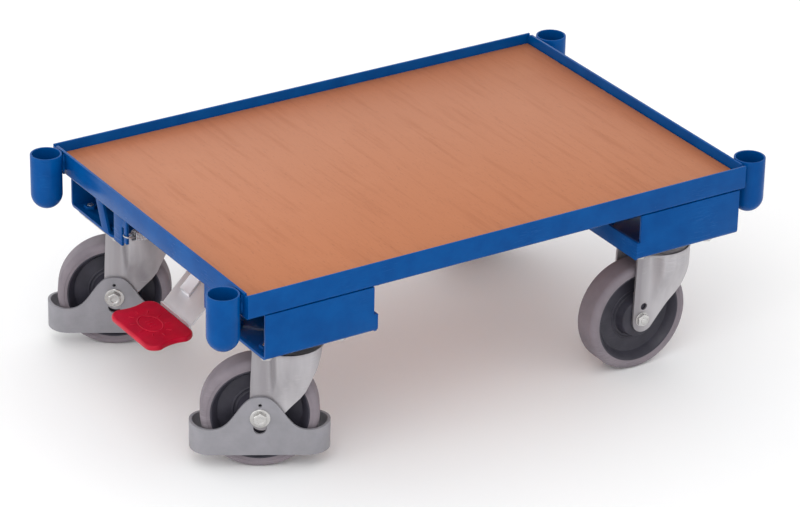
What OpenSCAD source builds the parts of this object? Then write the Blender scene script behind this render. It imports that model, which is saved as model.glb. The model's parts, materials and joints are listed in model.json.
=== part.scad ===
// Flatbed platform truck: an angle-rail frame with a plywood deck and four upright sockets,
// on two swivel casters with foot guards and a central pedal brake, and two fixed casters.
// Origin on the floor under the middle of the deck, +X towards the fixed casters, +Z up.
// "near" is the -Y side, "far" the +Y side, "left" the swivel end, "right" the fixed end.

/* [Deck frame] */
// Length over the end rails
frame_l = 793; // [660:1:960]
// Width over the long rails
frame_w = 540; // [450:1:650]
// Height of the rail lip above the deck board
lip_h = 14; // [6:0.5:40]
// Wall of the angle rails
rail_t = 3.5; // [2.5:0.1:5]
// Length of the rail leg that carries the board
rail_leg = 30; // [22:1:36]
// Inner bend radius of the rails
rail_bend = 1.5; // [0.5:0.1:3]
// Thickness of the deck board
board_t = 17.5; // [8:0.5:24]
// Gap all round the deck board
board_gap = 1.5; // [0.5:0.1:4]
// Width of a deck bearer
bearer_w = 40; // [30:1:60]
// Height of a deck bearer
bearer_h = 20; // [14:1:24]

/* [Corner sockets] */
// Outer diameter of a socket tube
socket_d = 44.5; // [33:0.1:54]
// Wall of a socket tube
socket_wall = 2.85; // [2:0.05:4]
// Overall height of a socket
socket_h = 81.5; // [60:0.5:110]
// Height of the socket's closed round end
socket_cup_h = 22; // [14:1:30]
// Weld gap between a socket and the end rail
socket_gap = 1.3; // [0.5:0.1:4]
// Distance that a socket stands inside the frame's long side
socket_inset = 1.8; // [0:0.1:10]

/* [Consoles] */
// Height of a console, from the caster plate to the rail
console_h = 66.5; // [56:0.5:90]
// Length of a console's side plate
console_l = 165; // [150:1:190]
// Depth of a console's bottom plate, across the truck
console_w = 125; // [122:1:150]
// Sheet thickness of the consoles
console_t = 4; // [3:0.5:5]
// Setback of the console from the long side of the frame
console_setback = 0.5; // [0:0.5:8]
// Distance from the swivel end of the frame to its consoles
console_inset_left = 26.5; // [8:0.5:28]
// Distance from the fixed end of the frame to its consoles
console_inset_right = 8.5; // [4:0.5:28]

/* [Casters] */
// Height from the floor to the top of a caster plate
caster_h = 198.5; // [194:0.5:240]
// Distance from the frame's ends to the caster centres
caster_inset = 99; // [96:0.5:110]
// Distance from the frame's long sides to the caster centres
caster_side = 67; // [65:0.5:75]
// Length of a caster top plate
plate_l = 140; // [125:1:142]
// Width of a caster top plate
plate_w = 110; // [105:1:122]
// Thickness of a caster top plate
plate_t = 4; // [3:0.5:6]
// Corner radius of a caster top plate
plate_corner_r = 8; // [4:0.5:14]
// Bolt spacing along the truck
hole_span_x = 112; // [100:1:116]
// Bolt spacing across the truck
hole_span_y = 80; // [76:1:88]
// Wheel diameter
wheel_d = 160; // [125:1:164]
// Tyre width
wheel_w = 40; // [32:1:42]
// Horizontal offset of the axle from the caster's upright axis
trail = 36.5; // [30:0.5:42]
// Angle that the swivel casters are turned to
swivel_angle = -29.4; // [-60:0.1:60]
// Clear width between the fork legs
fork_gap = 45; // [45:1:52]
// Sheet thickness of the forks
fork_t = 3.5; // [2.5:0.5:4]
// Radius of the fork's round head
head_r = 49; // [44:1:52]
// Height of the ball race between the fork head and the plate
race_h = 12; // [10:1:16]
// Overall length of a foot guard
guard_l = 189; // [185:1:210]
// Wall of a foot guard
guard_t = 4; // [3:0.5:6]

/* [Brake] */
// Diameter of the brake cross shaft
shaft_d = 16; // [12:0.5:18]
// Distance from the swivel axis to the cross shaft, along the truck
shaft_offset = 39.5; // [36:0.5:44]
// Width of the pedal arm
arm_w = 80; // [50:1:100]
// Overall width of the pedal pad
pad_w = 122; // [90:1:150]
// Diameter of the brake plungers
plunger_d = 12; // [8:0.5:13]

/* [Hidden] */
run_fit = 0.06;         // radial clearance of everything that turns or slides on a round part
$fn = 64;

// Heights, from the floor up
axle_z = wheel_d / 2;
plate_z = caster_h - plate_t;
head_z = plate_z - race_h;              // top of the fork head
head_t = 4;
rail_z = caster_h + console_h;          // underside of the rails
ledge_z = rail_z + rail_t;              // the board rests here
board_z = ledge_z + board_t;
rail_h = rail_t + board_t + lip_h;
frame_z = rail_z + rail_h;
console_floor = caster_h + console_t;

// Places along and across the truck
half_l = frame_l / 2;
half_w = frame_w / 2;
caster_x = half_l - caster_inset;
caster_y = half_w - caster_side;
socket_r = socket_d / 2;
socket_x = half_l + socket_gap + socket_r;
socket_y = half_w - socket_inset - socket_r;
console_out = half_w - console_setback;
console_in = console_out - console_w;
console_bend = 3;
flange_reach = 6;                       // the inboard flange stands this far past the side plate
flange_h = 26;
corner_r = 12;

// Caster details
bolt_r = 5;
bolt_hole_r = 5.5;
bolt_head_h = 6.4;
nut_h = 5;
nut_af = 17;
bolt_end = 0.5;
axle_end = 2;
race_r = 36;
kingpin_r = 10;
kingpin_head_r = 16;
kingpin_head_t = 3;
kingpin_foot_r = 15;
kingpin_foot_t = 5.5;
race_gap = 0.5;
tyre_wall = 13.5;
rim_r = wheel_d / 2 - tyre_wall;
boss_r = 29;
sleeve_r = 8;
bush_r = 13;
hub_gap = 1;
axle_r = 5;
axle_hole_r = 5.3;
axle_af = 17;
axle_head_h = 5;
axle_nut_h = 5;
stack_gap = 0.05;                       // keeps stacked fasteners separate solids
washer_r = 13.75;
washer_t = 1.5;
leg_tip_r = 17.4;
leg_out = fork_gap / 2 + fork_t;
guard_low = axle_z - 55.5;
guard_band = axle_z - 18.5;              // upper edge at the guard's ends
guard_hump = 49.5;
guard_hump_w = 36.9;
guard_out = leg_out + guard_t;

// Brake details: the pedal turns about a shaft above the console floors
shaft_r = shaft_d / 2;
shaft_x = -caster_x + shaft_offset;
shaft_z = console_floor + 19.5;
hub_r = shaft_r + 4;
lever_t = 3;
lever_top = shaft_z + 6;
lever_reach = 62;
lever_y = [console_in + 1, console_in + 73];
lever_lip = 11;
plunger_r = plunger_d / 2;
plunger_travel = 3.8;
shoe_r = 10;
shoe_t = 5.8;
shoe_gap = 0.7;
tyre_under_pin = axle_z + sqrt(pow(axle_z, 2) - pow(trail - shoe_r, 2));
shoe_z = tyre_under_pin + plunger_travel + shoe_gap;
bracket_x = -half_l + console_inset_left;
post_w = 23;
finger_w = 8;
finger_y = console_in - 37;             // outer edge of the spring finger
spring_y = finger_y + finger_w / 2;
spring_z = caster_h + 19.5;
spring_r = 8.25;
wire_d = 2.2;
crank_arm = [-4, -18];
crank_pin_r = 2;
crank_gap = 1;                          // between the crank plate and the spring's coil
arm_t = 3;
arm_fit = 0.3;                          // the arm's sheet passes this far outside the shaft
arm_back = (shaft_r + arm_fit + arm_t) * sqrt(2); // its 45 degree slope lies this far behind the shaft
pad_drop = 80.5;
pad_step_gap = 0.5;
pad_in = [shaft_x - arm_back - pad_drop - pad_step_gap, shaft_z - pad_drop]; // inner upper edge, x and z
pad_foot_l = 60;
pad_foot_w = 67;
pad_l = 71.8;
pad_t = 8;
pad_tilt = 3.6;
pad_lobe_r = 17;
pad_waist = 4;

blue = [0.07, 0.33, 0.58];
zinc = [0.66, 0.66, 0.67];
deck_brown = [0.76, 0.52, 0.38];
tyre_grey = [0.46, 0.43, 0.45];
rim_grey = [0.28, 0.27, 0.30];
guard_grey = [0.60, 0.60, 0.62];
pedal_red = [0.69, 0.08, 0.22];
black = [0.12, 0.12, 0.13];

SIDES = ["near", "far"];
ENDS = ["left", "right"];
CORNERS = [for (s = SIDES, e = ENDS) str(s, "_", e)];

// Points along an arc about centre c, from angle a0 to a1
function arc(c, r, a0, a1, n = 8) =
    [for (i = [0:n]) c + r * [cos(a0 + (a1 - a0) * i / n), sin(a0 + (a1 - a0) * i / n)]];

function sign_of(word) = (word == "near" || word == "left") ? -1 : 1;

// Section of a folded angle: a wall of height h on the left and a leg along the bottom
module angle_section(h, leg, t, bend) {
    centre = [t + bend, t + bend];
    polygon(concat(
        [[0, h]],
        arc(centre, t + bend, 180, 270),
        [[leg, 0], [leg, t]],
        arc(centre, bend, 270, 180),
        [[t, h]]));
}

// Draws a part made for the near left corner at any corner of the truck
module corner(side, end) {
    mirror([0, sign_of(side) > 0 ? 1 : 0, 0])
        mirror([sign_of(end) > 0 ? 1 : 0, 0, 0])
            children();
}

// Local frame of a caster: upright axis at the origin, wheel towards -X, axle along Y
module at_caster(side, end) {
    translate([sign_of(end) * caster_x, sign_of(side) * caster_y, 0])
        rotate([0, 0, end == "left" ? swivel_angle : 0])
            children();
}

// Local frame of a wheel: axle along Z, centred on the wheel
module at_wheel(side, end) {
    at_caster(side, end)
        translate([-trail, 0, axle_z])
            rotate([90, 0, 0])
                children();
}

module ring(r_out, r_in, h) {
    difference() {
        cylinder(r = r_out, h = h);
        translate([0, 0, -1])
            cylinder(r = r_in, h = h + 2);
    }
}

module hex(af, h) {
    cylinder(r = af / sqrt(3), h = h, $fn = 6);
}

// ---- Deck frame ----

module long_rail() {
    color(blue)
        translate([0, -half_w, rail_z])
            rotate([90, 0, 90])
                linear_extrude(frame_l, center = true)
                    angle_section(rail_h, rail_leg, rail_t, rail_bend);
}

// The end rails stand on the long rails' legs and fit between their walls
module end_rail() {
    notch = [6, 2.5];
    color(blue)
        difference() {
            translate([-half_l, 0, rail_z])
                rotate([90, 0, 0])
                    linear_extrude(frame_w - 2 * rail_t, center = true)
                        angle_section(rail_h, rail_leg, rail_t, rail_bend);
            for (s = [-1, 1]) {
                translate([-half_l - 1, s > 0 ? half_w - rail_leg : -half_w - 1, rail_z - 1])
                    cube([rail_leg + 2, rail_leg + 1, rail_t + 1]);
                translate([-half_l - 1, s * (half_w - rail_t) - rail_bend, rail_z])
                    cube([rail_leg + 2, 2 * rail_bend, rail_t + rail_bend]);
                translate([-half_l - 1, s * (half_w - rail_t) - notch[0], frame_z - notch[1]])
                    cube([rail_t + 2, 2 * notch[0], notch[1] + 1]);
            }
        }
}

module deck_board() {
    l = frame_l - 2 * (rail_t + board_gap);
    w = frame_w - 2 * (rail_t + board_gap);
    color(deck_brown)
        translate([-l / 2, -w / 2, ledge_z])
            cube([l, w, board_t]);
}

function flange_x(end) =
    half_l - (end == "left" ? console_inset_left : console_inset_right) - console_l - flange_reach;

module deck_bearers() {
    w = frame_w - 2 * rail_leg;
    color(blue)
        for (end = ENDS)
            translate([sign_of(end) * flange_x(end) - bearer_w / 2, -w / 2, ledge_z - bearer_h])
                difference() {
                    cube([bearer_w, w, bearer_h]);
                    translate([rail_t, -1, -1])
                        cube([bearer_w - 2 * rail_t, w + 2, bearer_h - rail_t + 1]);
                }
}

// Upright socket: a tube swaged shut to a round end, with its weld saddle
module socket() {
    r_in = socket_r - socket_wall;
    cup_in = socket_cup_h - socket_wall;
    edge = 0.8;
    h = socket_h;
    steps = 8;
    color(blue)
        translate([-socket_x, -socket_y, frame_z - h]) {
            rotate_extrude()
                polygon(concat(
                    [for (i = [0:steps]) [socket_r * sin(90 * i / steps),
                                          socket_cup_h * (1 - cos(90 * i / steps))]],
                    [[socket_r, h - edge], [socket_r - edge, h], [r_in + edge, h], [r_in, h - edge]],
                    [for (i = [0:steps]) [r_in * cos(90 * i / steps),
                                          socket_cup_h - cup_in * sin(90 * i / steps)]]));
            difference() {
                translate([0, 0, h - rail_h + 2])
                    linear_extrude(rail_h - 4)
                        polygon([[socket_r - 8, -8], [socket_r + socket_gap, -12],
                                 [socket_r + socket_gap, 12], [socket_r - 8, 8]]);
                translate([0, 0, -1])
                    cylinder(r = socket_r - 1, h = h + 2);
            }
        }
}

// ---- Consoles that carry the casters ----

module console(end) {
    x0 = -half_l + (end == "left" ? console_inset_left : console_inset_right);
    l_floor = console_l + flange_reach;
    strut_w = 20;
    strut_foot = console_in + 35;
    strut_top = console_in + 63;
    color(blue) {
        difference() {
            union() {
                translate([x0, -console_out, caster_h])
                    rotate([90, 0, 90])
                        linear_extrude(console_l)
                            angle_section(console_h, console_w, console_t, console_bend);
                // Floor, low wall and upturned flange at the inboard end
                translate([x0, -console_out, caster_h])
                    rotate([90, 0, 90])
                        linear_extrude(l_floor)
                            angle_section(flange_h, console_w, console_t, console_bend);
                translate([x0 + l_floor - console_t, -console_out + console_bend, caster_h])
                    cube([console_t, console_w - console_bend, flange_h]);
                // Post from the flange up to the deck bearer
                translate([x0 + l_floor - console_t, -console_in - post_w, caster_h])
                    cube([console_t, post_w, console_h + rail_t - bearer_h]);
                // Leaning strut at the outboard end, up to the end rail
                translate([x0, 0, 0])
                    rotate([90, 0, 90])
                        linear_extrude(console_t)
                            polygon([[-strut_foot, console_floor - 1],
                                     [-strut_foot + strut_w, console_floor - 1],
                                     [-strut_top + strut_w, rail_z],
                                     [-strut_top, rail_z]]);
                if (end == "left")
                    shaft_lug();
            }
            translate([-caster_x, -caster_y, caster_h - 1])
                caster_holes(console_t + 2);
            if (end == "left")
                translate([-caster_x, -caster_y, caster_h - 1])
                    cylinder(r = kingpin_head_r + 4, h = console_t + 2);
            // Rounded corner of the floor at the outboard end
            translate([x0, -console_in, caster_h - 1])
                difference() {
                    translate([-1, -corner_r, 0])
                        cube([corner_r + 1, corner_r + 1, console_t + 2]);
                    translate([corner_r, -corner_r, -1])
                        cylinder(r = corner_r, h = console_t + 4);
                }
        }
    }
}

// Plate that carries the brake shaft, standing on the console floor
module shaft_lug() {
    half = hub_r;
    y = lever_y[0] + 33;
    difference() {
        translate([shaft_x - half, -y - console_t, console_floor - 1])
            cube([2 * half, console_t, shaft_z + half - console_floor + 1]);
        translate([shaft_x, -y + 1, shaft_z])
            rotate([90, 0, 0])
                cylinder(r = shaft_r + run_fit, h = console_t + 2);
    }
}

module caster_holes(h) {
    for (x = [-1, 1], y = [-1, 1])
        translate([x * hole_span_x / 2, y * hole_span_y / 2, 0])
            cylinder(r = bolt_hole_r, h = h);
}

// One bracket at the outboard end of each left console, with a finger for a brake spring
module brake_brackets() {
    color(blue)
        for (side = SIDES)
            corner(side, "left")
                translate([bracket_x, 0, 0])
                    rotate([90, 0, 90])
                        linear_extrude(console_t)
                            polygon([[-console_in, caster_h],
                                     [-console_in, rail_z],
                                     [-finger_y, rail_z],
                                     [-finger_y, spring_z - 12],
                                     [-finger_y - finger_w, spring_z - 12],
                                     [-finger_y - finger_w, spring_z + 10],
                                     [-console_in + post_w, spring_z + 10],
                                     [-console_in + post_w, caster_h]]);
}

// ---- Casters ----

module top_plate(side, end) {
    plate_corner = [plate_l / 2 - plate_corner_r, plate_w / 2 - plate_corner_r];
    color(zinc)
        translate([sign_of(end) * caster_x, sign_of(side) * caster_y, plate_z])
            difference() {
                linear_extrude(plate_t)
                    polygon(concat(
                        arc(plate_corner, plate_corner_r, 0, 90),
                        arc([-plate_corner[0], plate_corner[1]], plate_corner_r, 90, 180),
                        arc(-plate_corner, plate_corner_r, 180, 270),
                        arc([plate_corner[0], -plate_corner[1]], plate_corner_r, 270, 360)));
                translate([0, 0, -1])
                    caster_holes(plate_t + 2);
                if (end == "left")
                    translate([0, 0, -1])
                        cylinder(r = kingpin_r, h = plate_t + 2);
            }
}

module mounting_bolts() {
    color(zinc)
        for (side = SIDES, end = ENDS, x = [-1, 1], y = [-1, 1])
            translate([sign_of(end) * caster_x + x * hole_span_x / 2,
                       sign_of(side) * caster_y + y * hole_span_y / 2,
                       plate_z - bolt_head_h]) {
                rotate([0, 0, 30])
                    hex(nut_af, bolt_head_h);
                cylinder(r = bolt_r, h = bolt_head_h + plate_t + console_t + nut_h + bolt_end);
            }
}

// Thin nuts welded to the console floors and painted with them
module mounting_nuts() {
    color(blue)
        for (side = SIDES, end = ENDS, x = [-1, 1], y = [-1, 1])
            translate([sign_of(end) * caster_x + x * hole_span_x / 2,
                       sign_of(side) * caster_y + y * hole_span_y / 2,
                       console_floor])
                difference() {
                    rotate([0, 0, 30])
                        hex(nut_af, nut_h);
                    translate([0, 0, -1])
                        cylinder(r = bolt_r, h = nut_h + 2);
                }
}

// Bearing cup fixed to the top plate
module ball_race(side) {
    color(black)
        at_caster(side, "left")
            translate([0, 0, head_z + race_gap])
                rotate_extrude()
                    polygon([[kingpin_r + 4, 0], [race_r - 3, 0], [race_r, 4],
                             [race_r, race_h - race_gap], [kingpin_r + 4, race_h - race_gap]]);
}

// Hollow kingpin: riveted head above the plate, thrust flange under the fork head
module kingpin(side) {
    foot_top = head_z - head_t - race_gap;
    foot_low = foot_top - kingpin_foot_t;
    color(zinc)
        at_caster(side, "left")
            rotate_extrude()
                polygon([[plunger_r + run_fit, foot_low], [kingpin_foot_r, foot_low],
                         [kingpin_foot_r, foot_top], [kingpin_r, foot_top],
                         [kingpin_r, caster_h], [kingpin_head_r, caster_h],
                         [kingpin_head_r, caster_h + kingpin_head_t],
                         [plunger_r + run_fit, caster_h + kingpin_head_t]]);
}

// Outline of a fork leg, seen along the axle, from the caster's upright axis
module leg_outline() {
    tip = [-trail + 3, axle_z - 3];
    back = [-trail - 10.8, head_z];
    front = [for (p = [[46, 0], [40.5, 24], [29.5, 48], [16.5, 74], [-0.5, 97]])
                [p[0] + head_r - 49, head_z - p[1]]];
    difference() {
        union() {
            translate(tip)
                circle(r = leg_tip_r);
            polygon(concat([tip + [-leg_tip_r, 0], back], front,
                           [tip + leg_tip_r * [cos(-40), sin(-40)]]));
        }
        translate([-trail, axle_z])
            circle(r = axle_hole_r);
        translate([-trail + 3, axle_z + 18.6])
            circle(r = 5.25);
    }
}

module fork(side, end) {
    swivels = end == "left";
    color(zinc)
        at_caster(side, end)
            difference() {
                union() {
                    for (s = [-1, 1])
                        translate([0, s > 0 ? leg_out : -leg_out + fork_t, 0])
                            rotate([90, 0, 0])
                                linear_extrude(fork_t)
                                    leg_outline();
                    translate([0, 0, head_z - head_t])
                        cylinder(r = head_r, h = head_t);
                    if (!swivels)
                        translate([0, 0, head_z - 1])
                            ring(race_r, race_r - head_t, race_h + 1);
                }
                if (swivels)
                    translate([0, 0, head_z - head_t - 1])
                        cylinder(r = kingpin_r + run_fit, h = head_t + 2);
            }
}

// Bolt, two washers and nut of one axle, as separate solids
module axle_bolt(side, end) {
    face = end == "left" ? guard_out : leg_out;
    seat = face + washer_t + stack_gap;
    washer = end == "left" ? washer_r : washer_r - 3.5;
    color(zinc)
        at_wheel(side, end) {
            translate([0, 0, -seat - axle_nut_h - axle_end])
                cylinder(r = axle_r, h = 2 * seat + axle_nut_h + axle_end + 1);
            translate([0, 0, seat])
                hex(axle_af, axle_head_h);
            translate([0, 0, -seat - axle_nut_h])
                difference() {
                    hex(axle_af, axle_nut_h);
                    translate([0, 0, -1])
                        cylinder(r = axle_r + stack_gap, h = axle_nut_h + 2);
                }
            for (z = [-face - washer_t, face])
                translate([0, 0, z])
                    ring(washer, axle_r + 0.2, washer_t);
        }
}

module axle_sleeve(side, end) {
    color(zinc)
        at_wheel(side, end)
            translate([0, 0, -fork_gap / 2])
                ring(sleeve_r, axle_r + 0.2, fork_gap);
}

module hub_bush(side, end) {
    l = fork_gap - 2 * hub_gap;
    color(black)
        at_wheel(side, end)
            translate([0, 0, -l / 2])
                ring(bush_r, sleeve_r + run_fit, l);
}

// Plastic wheel centre: boss, thin web and a dished bed for the tyre
module rim(side, end) {
    boss = fork_gap / 2 - hub_gap;
    edge = wheel_w / 2 - 1;
    web = 6;
    half = [[bush_r, boss], [boss_r - 2, boss], [boss_r, boss - 2], [boss_r + 1.5, web + 1],
            [boss_r + 3, web], [rim_r - 11, web], [rim_r - 9, web + 1.5],
            [rim_r - 2, edge - 0.5], [rim_r, edge]];
    color(rim_grey)
        at_wheel(side, end)
            rotate_extrude($fn = 96)
                polygon(concat(half, [for (i = [len(half) - 1:-1:0]) [half[i][0], -half[i][1]]]));
}

module tyre(side, end) {
    shoulder = 8;
    r = wheel_d / 2;
    w = wheel_w / 2;
    color(tyre_grey)
        at_wheel(side, end)
            rotate_extrude($fn = 96)
                polygon(concat(
                    [[rim_r, -w + 1], [rim_r + 1.5, -w]],
                    arc([r - shoulder, -w + shoulder], shoulder, -90, 0),
                    arc([r - shoulder, w - shoulder], shoulder, 0, 90),
                    [[rim_r + 1.5, w], [rim_r, w - 1]]));
}

// Height of the guard's upper edge at a distance u from the axle
function guard_top(u) =
    guard_band + guard_hump * exp(-pow(abs(u) / guard_hump_w, 2.8)) + 3 * pow(2 * u / guard_l, 6);

module oval(l, w) {
    r = w / 2;
    polygon(concat(arc([l / 2 - r, 0], r, -90, 90, 16), arc([-l / 2 + r, 0], r, 90, 270, 16)));
}

// Oval ring round the swivel wheel that keeps feet from under it
module foot_guard(side) {
    steps = 32;
    w = 2 * guard_out;
    color(guard_grey)
        at_caster(side, "left")
            translate([-trail, 0, 0])
                difference() {
                    intersection() {
                        translate([0, 0, guard_low])
                            linear_extrude(guard_band + guard_hump)
                                difference() {
                                    oval(guard_l, w);
                                    oval(guard_l - 2 * guard_t, w - 2 * guard_t);
                                }
                        rotate([90, 0, 0])
                            linear_extrude(w + 2, center = true)
                                polygon(concat(
                                    [[-guard_l, guard_low - 1]],
                                    [for (i = [0:steps]) let (u = (i / steps - 0.5) * (guard_l + 1))
                                        [u, guard_top(u)]],
                                    [[guard_l, guard_low - 1]]));
                    }
                    rotate([90, 0, 0])
                        linear_extrude(w + 2, center = true) {
                            translate([0, axle_z])
                                circle(r = 9);
                            translate([-9, axle_z - 15])
                                square([18, 15]);
                            translate([0, axle_z - 15])
                                circle(r = 9);
                            translate([0, axle_z + 19])
                                circle(r = 2.5, $fn = 24);
                        }
                }
}

// ---- Pedal brake ----

// Turns a drawing in the X-Z plane into a plate between two places along Y
module plate_across(y0, y1) {
    translate([0, y1, 0])
        rotate([90, 0, 0])
            linear_extrude(y1 - y0)
                children();
}

module brake_shaft() {
    l = 2 * (lever_y[1] + 5);
    crank_y = spring_y - spring_r - crank_gap - console_t;
    pin = [shaft_x, shaft_z] + crank_arm;
    color(zinc) {
        translate([shaft_x, l / 2, shaft_z])
            rotate([90, 0, 0])
                cylinder(r = shaft_r, h = l);
        plate_across(crank_y, crank_y + console_t) {
            translate([shaft_x, shaft_z])
                circle(r = hub_r);
            polygon([[shaft_x - hub_r, shaft_z], pin + [-5, 0], pin + [-3, -5], pin + [3, -5],
                     pin + [5, 0], [shaft_x + hub_r, shaft_z]]);
        }
        translate([pin[0], spring_y + 4, pin[1]])
            rotate([90, 0, 0])
                cylinder(r = crank_pin_r, h = spring_y + 4 - crank_y - 1);
    }
}

// Local frame of the pedal pad: its upper face at z = 0, the arm at x = 0
module at_pad() {
    translate([pad_in[0], 0, pad_in[1]])
        rotate([0, -pad_tilt, 0])
            children();
}

// Folded plate: a foot under the pad, a step at the pad's edge and a slope up to the shaft
module pedal_arm() {
    rise = shaft_z - pad_in[1];
    reach = arm_back;
    inner_reach = (shaft_r + arm_fit) * sqrt(2);
    rib_w = 24;
    rib_h = 4;
    rib_low = 22;
    color(zinc) {
        difference() {
            union() {
                plate_across(-arm_w / 2, arm_w / 2) {
                    translate([shaft_x, shaft_z])
                        circle(r = hub_r);
                    polygon([[shaft_x - reach - rise + 2, shaft_z - rise + 2],
                             [shaft_x - reach + 6, shaft_z + 6],
                             [shaft_x - inner_reach + 6, shaft_z + 6],
                             [shaft_x - inner_reach - rise + 2, shaft_z - rise + 2]]);
                }
                // Raised rib on the slope
                plate_across(0, rib_w)
                    polygon([[shaft_x - reach - rise + rib_low, shaft_z - rise + rib_low],
                             [shaft_x - reach - rise + rib_low - 1, shaft_z - rise + rib_low + 5],
                             [shaft_x - reach - 3, shaft_z + 3],
                             [shaft_x - reach + 3, shaft_z + 3]]);
                at_pad() {
                    translate([0, -arm_w / 2, -pad_t - arm_t])
                        cube([arm_t, arm_w, pad_t + arm_t + 4]);
                    translate([-pad_foot_l, -pad_foot_w / 2, -pad_t - arm_t])
                        cube([pad_foot_l + 1, pad_foot_w, arm_t]);
                }
            }
            translate([shaft_x, arm_w / 2 + 1, shaft_z])
                rotate([90, 0, 0])
                    cylinder(r = shaft_r, h = arm_w + 2);
        }
    }
}

// Moulded pad: straight inner and outer edges, round lobes and waisted ends
module pedal_pad() {
    r = pad_lobe_r;
    half = pad_w / 2;
    x_out = -pad_l + r;
    x_in = -r;
    span = x_in - x_out;
    waist_r = (pow(span / 2, 2) + pow(pad_waist, 2)) / (2 * pad_waist);
    waist_a = asin(span / 2 / waist_r);
    side_points = concat(
        arc([x_in, half - r], r, 0, 90),
        arc([(x_in + x_out) / 2, half - pad_waist + waist_r], waist_r, -90 + waist_a, -90 - waist_a),
        arc([x_out, half - r], r, 90, 180));
    color(pedal_red)
        at_pad()
            translate([0, 0, -pad_t])
                linear_extrude(pad_t)
                    polygon(concat(
                        side_points,
                        [for (i = [len(side_points) - 1:-1:0]) [side_points[i][0], -side_points[i][1]]]));
}

// Channel keyed to the shaft; it reaches over the kingpin and presses on the plunger
module brake_lever() {
    tip = shaft_x - lever_reach;
    end_x = shaft_x - hub_r - 4;
    color(zinc) {
        for (y = [lever_y[0], lever_y[1] - lever_t])
            plate_across(-y - lever_t, -y)
                difference() {
                    union() {
                        translate([shaft_x, shaft_z])
                            circle(r = hub_r);
                        polygon([[tip, lever_top - lever_lip], [tip, lever_top],
                                 [shaft_x, lever_top], [shaft_x, shaft_z - hub_r + 1]]);
                    }
                    translate([shaft_x, shaft_z])
                        circle(r = shaft_r);
                }
        translate([tip, -lever_y[1], lever_top - lever_t])
            cube([end_x - tip, lever_y[1] - lever_y[0], lever_t]);
        translate([tip, -lever_y[1], lever_top - lever_lip])
            cube([2.5, lever_y[1] - lever_y[0], lever_lip]);
    }
}

// Rod through the kingpin, with a crowned top and a round shoe over the tyre
module brake_plunger(side) {
    top = lever_top - lever_t - 0.3;
    color(zinc)
        at_caster(side, "left")
            rotate_extrude()
                polygon([[0, shoe_z], [shoe_r, shoe_z], [shoe_r, shoe_z + shoe_t],
                         [plunger_r, shoe_z + shoe_t], [plunger_r, top - 2.5], [2, top], [0, top]]);
}

// Return spring from the far bracket's finger to the crank pin on the shaft: a sleeve the size
// of its closed coil, with a flat eye at each end
module brake_spring() {
    mean = spring_r - wire_d / 2;
    start = [bracket_x - 0.3 - wire_d / 2 + mean, spring_z];
    pin = [shaft_x, shaft_z] + crank_arm;
    run = pin - start;
    l = norm(run);
    eye_r = 6.7;
    coil_start = mean;
    coil_end = l - eye_r;
    color(zinc)
        translate([start[0], spring_y, start[1]])
            rotate([0, -atan2(run[1], run[0]), 0]) {
                translate([0, 0, -wire_d / 2])
                    ring(spring_r, spring_r - wire_d, wire_d);
                translate([coil_start, 0, 0])
                    rotate([0, 90, 0])
                        ring(spring_r, spring_r - wire_d, coil_end - coil_start);
                // End wires from the coil to the two eyes
                for (x = [coil_start, coil_end - wire_d / 2])
                    translate([x, -wire_d / 4, -mean])
                        cube([wire_d, wire_d / 2, 2 * mean]);
                translate([l, wire_d / 2, 0])
                    rotate([90, 0, 0])
                        ring(eye_r, eye_r - wire_d, wire_d);
            }
}

// ---- The truck ----

deck_board();
long_rail();  // rail_near
mirror([0, 1, 0]) long_rail();  // rail_far
end_rail();  // end_rail_left
mirror([1, 0, 0]) end_rail();  // end_rail_right
deck_bearers();
brake_brackets();
mounting_bolts();
mounting_nuts();
brake_shaft();
pedal_arm();
pedal_pad();
brake_spring();

for (s = SIDES, e = ENDS) {
    corner(s, e) socket();
    corner(s, e) console(e);
    top_plate(s, e);
    fork(s, e);
    axle_bolt(s, e);
    axle_sleeve(s, e);
    rim(s, e);
    tyre(s, e);
    hub_bush(s, e);
}

for (s = SIDES) {
    ball_race(s);
    kingpin(s);
    foot_guard(s);
    corner(s, "left") brake_lever();
    brake_plunger(s);
}
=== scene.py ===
"""Looks of the flatbed platform truck: finished pieces, materials, studio and camera around the CAD frame."""

import json
import math

import bpy
from mathutils import Matrix, Vector


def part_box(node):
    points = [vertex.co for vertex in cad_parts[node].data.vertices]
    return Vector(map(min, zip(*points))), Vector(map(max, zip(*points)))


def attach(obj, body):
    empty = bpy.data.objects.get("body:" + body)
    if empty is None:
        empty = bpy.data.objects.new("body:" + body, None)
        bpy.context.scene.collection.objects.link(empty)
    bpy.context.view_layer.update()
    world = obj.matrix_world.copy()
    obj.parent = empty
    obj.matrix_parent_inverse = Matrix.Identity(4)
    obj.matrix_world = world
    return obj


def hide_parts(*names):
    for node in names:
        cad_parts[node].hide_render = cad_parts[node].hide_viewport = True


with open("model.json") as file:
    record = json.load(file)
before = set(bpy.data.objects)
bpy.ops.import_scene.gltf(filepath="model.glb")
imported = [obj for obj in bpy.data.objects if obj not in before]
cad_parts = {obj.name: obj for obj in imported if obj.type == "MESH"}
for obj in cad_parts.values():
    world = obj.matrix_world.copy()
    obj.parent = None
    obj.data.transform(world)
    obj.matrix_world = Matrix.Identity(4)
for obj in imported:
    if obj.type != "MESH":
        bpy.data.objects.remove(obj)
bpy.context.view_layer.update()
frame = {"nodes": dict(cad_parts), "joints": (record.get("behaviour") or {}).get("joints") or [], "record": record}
NODES = frame["nodes"]
JOINTS = {joint["name"]: joint for joint in frame["joints"]}
SLOT_OF = {part["node"]: part["material_slot"] for part in frame["record"]["subparts"]}
BODY_OF = {node: body for body, members in frame["record"]["behaviour"]["bodies"].items() for node in members}

MM = 0.001
SIDES = ("near", "far")
ENDS = ("left", "right")

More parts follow.
